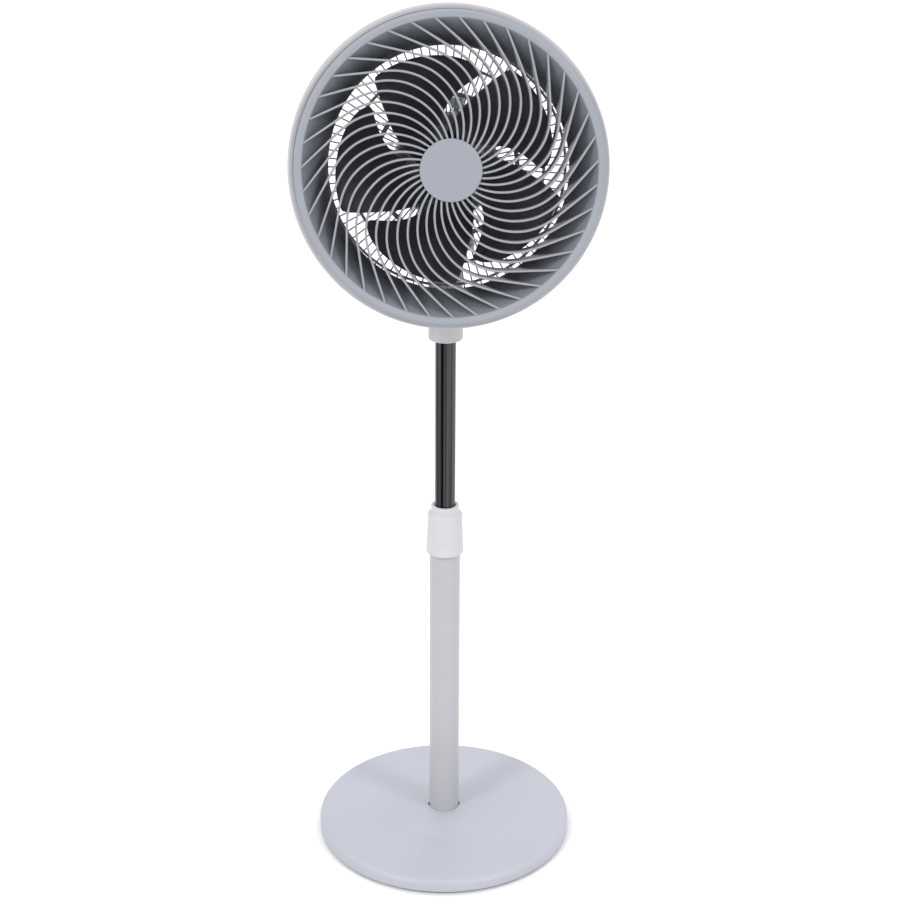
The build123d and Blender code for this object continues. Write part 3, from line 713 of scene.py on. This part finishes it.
# Course of one front vane: curved out from the cap, as (radius, angle), then straight to the ring.
# The straight stretch lies on a line that passes RIB_LINE_OFF from the centre at RIB_LINE_ANGLE.
RIB_LINE_OFF = 112.3
RIB_LINE_ANGLE = 12.3
RIB_STRAIGHT_FROM = 131.0


def on_rib_line(radius):
    return RIB_LINE_ANGLE + math.degrees(math.acos(RIB_LINE_OFF / radius))


RIB_CURVE = [(30.0, -7.2), (52.0, 0.4), (78.0, 11.1), (104.0, 24.2), (118.0, 33.2)]
RIB_CURVE += [(radius, on_rib_line(radius)) for radius in (RIB_STRAIGHT_FROM, 140.0)]


def rib_angle(radius):
    if radius > RIB_STRAIGHT_FROM:
        return on_rib_line(radius)
    return between(RIB_CURVE, radius)


def rib_front(radius):
    return between([(30.0, 98.2), (100.0, 95.4), (140.0, 92.2), (RIB_END, 90.2)], radius)


def rib_back(radius):
    """A vane's rear edge: straight over the throat, then just inside the bell mouth's face."""
    straight = RIB_BACK_S - (radius - CAP_R) * RIB_BACK_DROP / (RIB_DROP_TO_R - CAP_R)
    if radius <= THROAT_R + 0.1:
        return straight
    return max(straight, bell_face(min(radius, BELL_EDGE_R)) - 0.8)


def rib_part():
    """One vane: a thin blade with a round front edge, standing across its own course."""
    half = RIB_T / 2
    back_half = half * 0.62
    bevel = 0.5
    step = 0.5
    rings = []
    for radius in evenly(RIB_START, RIB_END, 43):
        a = math.radians(rib_angle(radius))
        b = math.radians(rib_angle(radius + step))
        here = Vector((radius * math.cos(a), radius * math.sin(a)))
        ahead = Vector(((radius + step) * math.cos(b), (radius + step) * math.sin(b)))
        along = (ahead - here).normalized()
        side = Vector((-along.y, along.x))
        top = rib_front(radius)
        low = min(rib_back(radius), top - 1.5)
        section = [
            (half * math.cos(turn), top - half + half * math.sin(turn))
            for turn in evenly(0.0, math.pi, 8)
        ]
        section += [
            (-back_half, low + 0.6),
            (-back_half + bevel, low),
            (back_half - bevel, low),
            (back_half, low + 0.6),
        ]
        rings.append([(here.x + side.x * u, here.y + side.y * u, z) for u, z in section])
    return tube_grid(rings)


def spiral_vanes():
    disc_r = CAP_R - 0.3
    disc_front = CAP_FRONT - 3.0
    disc = lathe(rounded([
        (0.01, RIB_BACK_S, 0),
        (disc_r, RIB_BACK_S, 1.0),
        (disc_r, disc_front, 0.4),
        (0.01, disc_front, 0),
    ]), 96, closed=False)
    return join(spun(rib_part(), RIBS), disc)


def round_ring(radius, s, width, depth):
    """A ring of rounded rectangular section."""
    corner = min(width, depth) * 0.35
    return lathe(rounded([
        (radius - width / 2, s - depth / 2, corner),
        (radius + width / 2, s - depth / 2, corner),
        (radius + width / 2, s + depth / 2, corner),
        (radius - width / 2, s + depth / 2, corner),
    ], 3), 200)


def guard_bar_part():
    """One rear bar, radial over the inlet and then bending forward to the rim."""
    half_width, half_depth = 0.85, 1.8
    path = [(radius, GUARD_S) for radius in (44.0, 70.0, 96.0, 122.0, BAR_BEND_R)]
    bend_rise = RIM_BACK - 4.0 - GUARD_S
    for a in evenly(0.0, math.pi / 2, 10)[1:]:
        path.append((BAR_BEND_R + BAR_BEND_WIDTH * math.sin(a), GUARD_S + bend_rise * (1 - math.cos(a))))
    path.append((BAR_BEND_R + BAR_BEND_WIDTH, RIM_BACK + 1.0))
    rings = []
    for k, (r, s) in enumerate(path):
        before = Vector(path[max(k - 1, 0)])
        after = Vector(path[min(k + 1, len(path) - 1)])
        along = (after - before).normalized()
        out = Vector((-along.y, along.x))
        ring_points = []
        for j in range(8):
            a = TURN * (j + 0.5) / 8
            wide = half_width * math.cos(a)
            deep = half_depth * math.sin(a)
            ring_points.append((r + out.x * deep, wide, s + out.y * deep))
        rings.append(ring_points)
    return tube_grid(rings)


def rear_guard():
    return join(
        spun(guard_bar_part(), GUARD_BARS),
        round_ring(32.6, GUARD_S, 26.6, 3.6),
        round_ring(80.5, GUARD_S, 5.2, 4.4),
        round_ring(111.0, GUARD_S, 3.4, 4.4),
        round_ring(135.5, GUARD_S, 3.0, 4.4),
        round_ring(GUARD_EDGE_R - 1.95, RIM_BACK + 0.1, 3.9, 4.2),
    )


# ---------------------------------------------------------------- impeller

# Where a blade's two edges run, as (radius, angle in degrees).
LEADING_EDGE = [(26.0, 124.5), (50.0, 101.0), (74.0, 87.5), (102.0, 72.0), (129.0, 63.5)]
TRAILING_EDGE = [(26.0, 176.5), (48.0, 159.0), (84.0, 142.0), (107.0, 134.8), (130.0, 129.3)]
BLADE_MID = 106.0
# Rise per mm across the blade, height of its middle, and half its width, all by distance out.
RISE_COURSE = [(22.0, 1.30), (60.0, 0.60), (100.0, 0.30), (140.0, 0.23)]
MIDDLE_COURSE = [(22.0, 14.0), (60.0, 29.0), (100.0, 36.5), (140.0, 38.5)]
HALF_COURSE = [(22.0, 34.0), (60.0, 52.0), (100.0, 78.0), (140.0, 92.0)]


def blade_height(x, y):
    """Height of the middle of the blade over a place, in the blade's own turned frame."""
    distance = max(x, 18.0)
    half = between(HALF_COURSE, distance)
    across = max(-1.0, min(1.0, y / half))
    rise = between(RISE_COURSE, distance)
    sag = 0.07 * half * (1 - across * across)
    return between(MIDDLE_COURSE, distance) + rise * y + sag


def blade_point(v, t):
    """A place on the blade: v runs from root to tip, t from leading to trailing edge."""
    corner = 6.0 * (1 - t) ** 9 + 1.2 * t ** 14
    tip = BLADE_TIP_R + 11.5 * t ** 0.8 - corner
    radius = BLADE_ROOT_R + v * (tip - BLADE_ROOT_R)
    lead = between(LEADING_EDGE, radius)
    trail = between(TRAILING_EDGE, radius)
    # The blade's outer corners are rounded.
    pull = 3.2 * max(0.0, (v - 0.9) / 0.1) ** 3
    lead += pull * 0.9
    trail -= pull * 0.25
    angle = math.radians(lead + t * (trail - lead) - BLADE_MID)
    x, y = radius * math.cos(angle), radius * math.sin(angle)
    return Vector((x, y, blade_height(x, y)))


def eased(k, count):
    """Samples that crowd towards both ends."""
    x = k / (count - 1)
    return 0.5 - 0.5 * math.cos(math.pi * x)


def blade_part():
    """A grid of places on the middle of the blade, thickened to both sides."""
    rows, columns = 40, 44
    middle = [
        [blade_point(eased(i, rows), eased(j, columns)) for j in range(columns)]
        for i in range(rows)
    ]
    front, back = [], []
    for i in range(rows):
        for j in range(columns):
            du = middle[min(i + 1, rows - 1)][j] - middle[max(i - 1, 0)][j]
            dv = middle[i][min(j + 1, columns - 1)] - middle[i][max(j - 1, 0)]
            normal = du.cross(dv).normalized()
            to_edge = min(j, columns - 1 - j, rows - 1 - i)
            taper = (0.15, 0.55, 0.78, 0.92, 1.0)[min(to_edge, 4)]
            off = normal * (BLADE_T / 2 * taper)
            front.append(middle[i][j] + off)
            back.append(middle[i][j] - off)
    verts = front + back
    size = rows * columns
    faces = []
    for i in range(rows - 1):
        for j in range(columns - 1):
            a, b = i * columns + j, i * columns + j + 1
            c, d = b + columns, a + columns
            faces.append((a, b, c, d))
            faces.append((a + size, d + size, c + size, b + size))
    border = list(range(columns))
    border += [i * columns + columns - 1 for i in range(1, rows)]
    border += [(rows - 1) * columns + j for j in range(columns - 2, -1, -1)]
    border += [i * columns for i in range(rows - 2, 0, -1)]
    for k, a in enumerate(border):
        b = border[(k + 1) % len(border)]
        faces.append((b, a, a + size, b + size))
    turn = Matrix.Rotation(math.radians(BLADE_MID), 3, "Z")
    return [tuple(turn @ v) for v in verts], faces


def impeller():
    hub = lathe(rounded([
        (BORE_R, HUB_BACK + 4.0, 0),
        (SHAFT_BOSS_R, HUB_BACK + 4.0, 0.5),
        (SHAFT_BOSS_R, HUB_FRONT - 5.0, 0.5),
        (HUB_R - 3.0, HUB_FRONT - 5.0, 0.5),
        (HUB_R - 3.0, HUB_BACK, 0.8),
        (HUB_R, HUB_BACK, 0.8),
        (HUB_R, HUB_FRONT, 4.0),
        (SHAFT_BOSS_R, HUB_FRONT + 2.0, 1.0),
        (BORE_R, HUB_FRONT + 2.0, 0),
    ]), 96)
    return join(spun(blade_part(), BLADES), hub)


# ---------------------------------------------------------------- knobs

def fluted_knob(radius, low, high, flutes, depth, top_round, stem_r, stem_to):
    """A knob from low to high with grooves round it, on a stem that ends at stem_to."""
    outline = rounded([
        (0.01, high, 0),
        (radius, high, top_round),
        (radius, low, 0.8),
        (stem_r, low, 0),
        (stem_r, stem_to, 0),
        (0.01, stem_to, 0),
    ], 6)

    def wave(angle, r, z):
        if r < radius * 0.8:
            return 0.0
        return -depth * max(0.0, math.cos(flutes * angle)) ** 2

    return lathe(cut_walls(outline, 2.0, closed=False), flutes * 12, wave, closed=False)


def pull_knob_place():
    """The pull knob's own frame: its stem runs along the head's up direction."""
    flip = Matrix(((1, 0, 0), (0, 0, 1), (0, -1, 0))).to_4x4()
    return HEAD @ Matrix.Translation((WHEEL_X * MM, 0, WORM_S * MM)) @ flip


def tilt_knob_place():
    """The tilt knob's own frame: its stem runs along the hinge, to the right."""
    centre = Vector(joint("tilt")["pos_m"])
    turn = Matrix(((0, 0, 1), (1, 0, 0), (0, 1, 0))).to_4x4()
    return Matrix.Translation((0, centre.y, centre.z)) @ turn


def mirrored(part):
    """Turned over, so that what pointed forward points back."""
    verts, faces = part
    return [(x, -y, -z) for x, y, z in verts], faces


def build_knobs():
    dial = fluted_knob(radius=17.0, low=0.5, high=16.0, flutes=20, depth=1.3, top_round=2.2,
                       stem_r=4.0, stem_to=-2.0)
    pointer = tube_grid([
        [(-0.9, 5.0, z), (0.9, 5.0, z), (0.7, 14.0, z), (-0.7, 14.0, z)] for z in (15.0, 16.5)
    ])
    back = HEAD @ Matrix.Translation((0, 0, MOTOR_BACK * MM))
    piece("speed_dial", mirrored(join(dial, pointer)), back, "speed_knob", "neck_plastic",
          ["speed_knob"], look="grille_plastic")
    pull = fluted_knob(radius=9.0, low=63.0, high=76.0, flutes=14, depth=0.7, top_round=3.0,
                       stem_r=3.0, stem_to=40.0)
    stem = lathe([(3.0, 16.0), (3.0, 64.0)], 32, closed=False)
    piece("pull_knob", join(pull, stem), pull_knob_place(), "oscillation_knob", "neck_plastic",
          ["oscillation_knob"], look="grille_plastic")
    grip = fluted_knob(radius=11.0, low=TILT_KNOB_FROM, high=TILT_KNOB_FROM + 15.0, flutes=10,
                       depth=1.5, top_round=2.5, stem_r=4.1, stem_to=TILT_KNOB_FROM)
    piece("tilt_grip", grip, tilt_knob_place(), "tilt_knob", "neck_plastic", ["tilt_knob"])


def build_head():
    piece("rim", rim_part(), HEAD, "head", "rim_plastic", ["rim_shell"])
    ring = piece("front_ring", front_ring_part(), HEAD, "head", "grille_plastic", ["bell_ring"],
                 even=False)
    # The bell mouth inside the ring's sharp edge gets painted shade: the darker copy of the grille plastic.
    paint_shade_inside(ring, HEAD, RING_INNER_R - 0.7, "bell_plastic_painted_shade")
    # The vanes take the lighter copy of the grille plastic, a painted highlight.
    piece("spiral_vanes", spiral_vanes(), HEAD, "head", "grille_plastic", ["front_grille"],
          even=False, look="vane_plastic_painted_highlight")
    piece("centre_cap", cap_part(), HEAD, "head", "grille_plastic", ["grille_cap"])
    piece("rear_guard", rear_guard(), HEAD, "head", "guard_plastic", ["rear_grille"])
    piece("impeller", impeller(), HEAD, "rotor", "blade_plastic", ["fan_blade"], even=False)


# ---------------------------------------------------------------- carried-over CAD nodes

def dress_cad_nodes():
    """CAD pieces that stay get their material, softened edges and smooth shading."""
    slots = {entry["node"]: entry["material_slot"] for entry in frame["record"]["subparts"]}
    for name, obj in frame["nodes"].items():
        if name in REPLACED:
            continue
        dress(obj, slots[name])
        obj.data.polygons.foreach_set("use_smooth", [True] * len(obj.data.polygons))
        weld = obj.modifiers.new("weld", "WELD")
        weld.merge_threshold = 0.00001
        soften = obj.modifiers.new("soften", "BEVEL")
        soften.width = 0.4 * MM
        soften.segments = 2
        soften.limit_method = "ANGLE"
        soften.angle_limit = math.radians(40)
        even_normals(obj)


# ---------------------------------------------------------------- camera, light and floor

def place_camera():
    """Looks down at the fan from a little to its left, with the whole fan in a square frame."""
    data = bpy.data.cameras.new("camera")
    data.lens = 72.44
    data.sensor_width = 36.0
    data.clip_end = 50.0
    camera = bpy.data.objects.new("camera", data)
    azimuth = math.radians(-3.225)
    pitch = math.radians(22.164)
    roll = math.radians(0.27)
    distance, side, height = 2.032, 0.00575, 1.35745
    camera.location = (
        distance * math.sin(azimuth) + side * math.cos(azimuth),
        -distance * math.cos(azimuth) + side * math.sin(azimuth),
        height,
    )
    ahead = Vector((
        -math.sin(azimuth) * math.cos(pitch),
        math.cos(azimuth) * math.cos(pitch),
        -math.sin(pitch),
    ))
    right = Vector((math.cos(azimuth), math.sin(azimuth), 0.0))
    up = right.cross(ahead)
    turned_right = right * math.cos(roll) + up * math.sin(roll)
    turned_up = up * math.cos(roll) - right * math.sin(roll)
    look = Matrix((turned_right, turned_up, -ahead)).transposed()
    camera.rotation_mode = "QUATERNION"
    camera.rotation_quaternion = look.to_quaternion()
    bpy.context.scene.collection.objects.link(camera)
    bpy.context.scene.camera = camera


def soft_sun(name, from_place, strength, spread_deg):
    """A sun that shines from a place towards the origin, with shadows softened by its spread."""
    data = bpy.data.lights.new(name, "SUN")
    data.energy = strength
    data.angle = math.radians(spread_deg)
    light = bpy.data.objects.new(name, data)
    light.rotation_mode = "QUATERNION"
    light.rotation_quaternion = (-Vector(from_place)).to_track_quat("-Z", "Y")
    bpy.context.scene.collection.objects.link(light)


def studio():
    """A plain pale floor under an even white sky and three soft suns."""
    size = 14.0
    mesh = bpy.data.meshes.new("floor")
    corners = [(-size, -size, 0), (size, -size, 0), (size, size, 0), (-size, size, 0)]
    mesh.from_pydata(corners, [], [(0, 1, 2, 3)])
    floor = bpy.data.objects.new("floor", mesh)
    bpy.context.scene.collection.objects.link(floor)
    n = Nodes("floor")
    tint = n.ramp(n.noise(3.0, 3.0), (0.86, 0.86, 0.865), (0.88, 0.88, 0.885))
    n.link(tint, n.shader.inputs["Base Color"])
    n.set("Roughness", 0.9)
    n.set("Specular IOR Level", 0.1)
    mesh.materials.append(n.material)
    world = bpy.data.worlds.new("studio")
    world.use_nodes = True
    background = world.node_tree.nodes["Background"]
    background.inputs["Color"].default_value = (1, 1, 1, 1)
    background.inputs["Strength"].default_value = 1.0
    bpy.context.scene.world = world
    soft_sun("sun_left", (-1.5, -1.5, 1.7), 1.05, 14.0)
    soft_sun("sun_right", (1.6, -1.6, 1.7), 0.85, 14.0)
    soft_sun("sun_top", (-0.1, 1.1, 2.0), 0.45, 60.0)
    bpy.context.scene.view_settings.view_transform = "Standard"


place_camera()
build_base_and_mast()
build_head()
build_knobs()
dress_cad_nodes()
studio()

bpy.context.view_layer.update()
